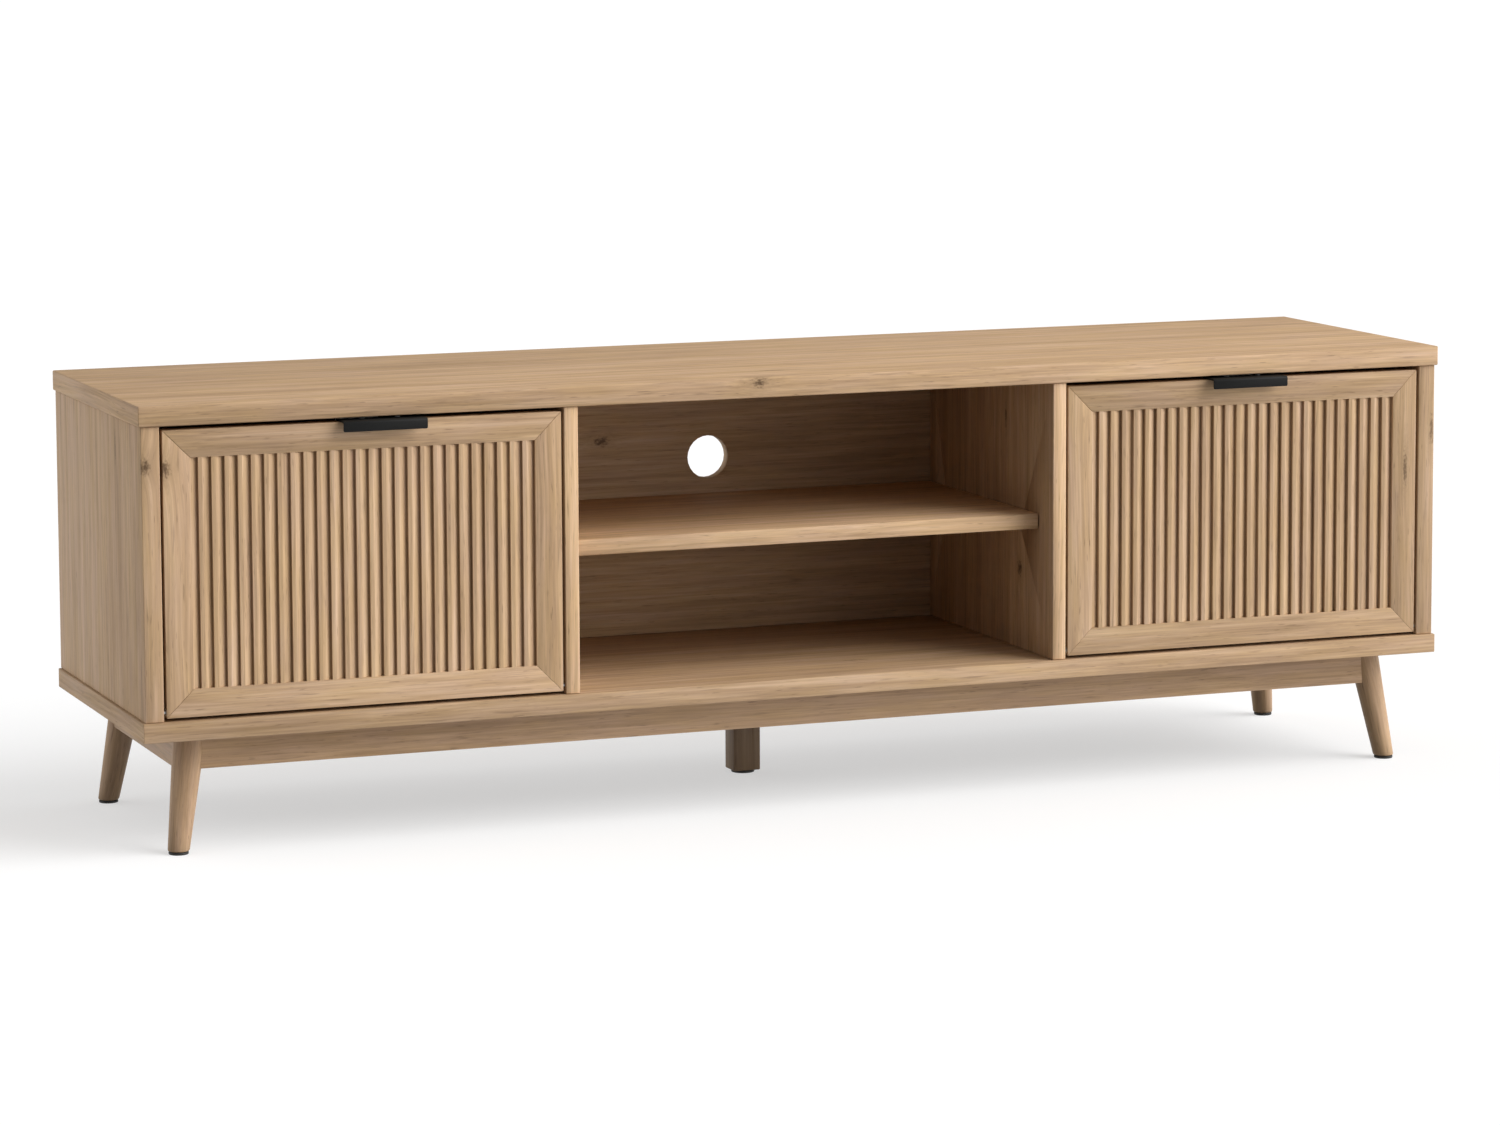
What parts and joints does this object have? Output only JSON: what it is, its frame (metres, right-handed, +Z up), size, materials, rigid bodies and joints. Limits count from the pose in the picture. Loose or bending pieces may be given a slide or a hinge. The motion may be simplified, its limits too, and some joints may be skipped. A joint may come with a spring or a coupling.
{
  "type": "media cabinet",
  "caption": "Low oak media cabinet with fluted drop-down flap doors at both ends, an open middle bay with an adjustable shelf and a cable hole, on a base of splayed round legs.",
  "frame": {"origin": "on the floor, under the middle of the whole cabinet with its pulls", "axes": "+X to the right-hand end, +Y to the back (the doors face -Y), +Z up"},
  "size_m": [1.6, 0.412, 0.505],
  "materials": {
    "oak_board": "light oak decor on board, satin lacquer, fine open grain",
    "oak_solid": "solid light oak, satin lacquer",
    "black_metal": "matt black powder coat",
    "steel": "zinc-plated steel, satin",
    "white_nylon": "natural white nylon, matt",
    "dark_nylon": "dark brown nylon, matt"
  },
  "bodies": {
    "cabinet": {"top_board": "oak_board", "bottom_board": "oak_board", "left_side_panel": "oak_board", "right_side_panel": "oak_board", "left_divider": "oak_board", "right_divider": "oak_board", "back_panel": "oak_board", "middle_shelf": "oak_board", "shelf_pin_left_front": "steel", "shelf_pin_left_rear": "steel", "shelf_pin_right_front": "steel", "shelf_pin_right_rear": "steel", "left_pivot_pin_outer": "steel", "left_pivot_pin_inner": "steel", "right_pivot_pin_outer": "steel", "right_pivot_pin_inner": "steel", "left_stay_wall_bracket": "steel", "right_stay_wall_bracket": "steel", "left_magnetic_catch": "white_nylon", "right_magnetic_catch": "white_nylon", "front_apron": "oak_solid", "rear_apron": "oak_solid", "left_apron": "oak_solid", "right_apron": "oak_solid", "front_left_leg": "oak_solid", "front_left_glide": "dark_nylon", "front_left_corner_brace": "oak_solid", "front_right_leg": "oak_solid", "front_right_glide": "dark_nylon", "front_right_corner_brace": "oak_solid", "rear_left_leg": "oak_solid", "rear_left_glide": "dark_nylon", "rear_left_corner_brace": "oak_solid", "rear_right_leg": "oak_solid", "rear_right_glide": "dark_nylon", "rear_right_corner_brace": "oak_solid", "centre_leg": "oak_solid", "centre_glide": "dark_nylon"},
    "left_door": {"left_door_bottom_rail": "oak_board", "left_door_top_rail": "oak_board", "left_door_left_stile": "oak_board", "left_door_right_stile": "oak_board", "left_door_fluted_panel": "oak_board", "left_door_pull": "black_metal", "left_pivot_bush_outer": "white_nylon", "left_pivot_bush_inner": "white_nylon", "left_stay_door_bracket": "steel", "left_strike_plate": "steel"},
    "right_door": {"right_door_bottom_rail": "oak_board", "right_door_top_rail": "oak_board", "right_door_left_stile": "oak_board", "right_door_right_stile": "oak_board", "right_door_fluted_panel": "oak_board", "right_door_pull": "black_metal", "right_pivot_bush_outer": "white_nylon", "right_pivot_bush_inner": "white_nylon", "right_stay_door_bracket": "steel", "right_strike_plate": "steel"},
    "left_stay": {"left_stay_arm": "steel"},
    "right_stay": {"right_stay_arm": "steel"}
  },
  "joints": [
    {"name": "left_door_hinge", "type": "hinge", "parent": "cabinet", "child": "left_door", "pos_m": [-0.543, -0.184, 0.165], "axis": [1, 0, 0], "range_deg": [0, 90]},
    {"name": "right_door_hinge", "type": "hinge", "parent": "cabinet", "child": "right_door", "pos_m": [0.543, -0.184, 0.165], "axis": [1, 0, 0], "range_deg": [0, 90]},
    {"name": "left_stay_pivot", "type": "hinge", "parent": "left_door", "child": "left_stay", "pos_m": [-0.7717, -0.162, 0.28297], "axis": [1, 0, 0], "range_deg": [-45, 0]},
    {"name": "right_stay_pivot", "type": "hinge", "parent": "right_door", "child": "right_stay", "pos_m": [0.7717, -0.162, 0.28297], "axis": [1, 0, 0], "range_deg": [-45, 0]}
  ],
  "couplings": [
    {"joint": "left_stay_pivot", "follows": "left_door_hinge", "ratio": -0.5},
    {"joint": "right_stay_pivot", "follows": "right_door_hinge", "ratio": -0.5}
  ]
}
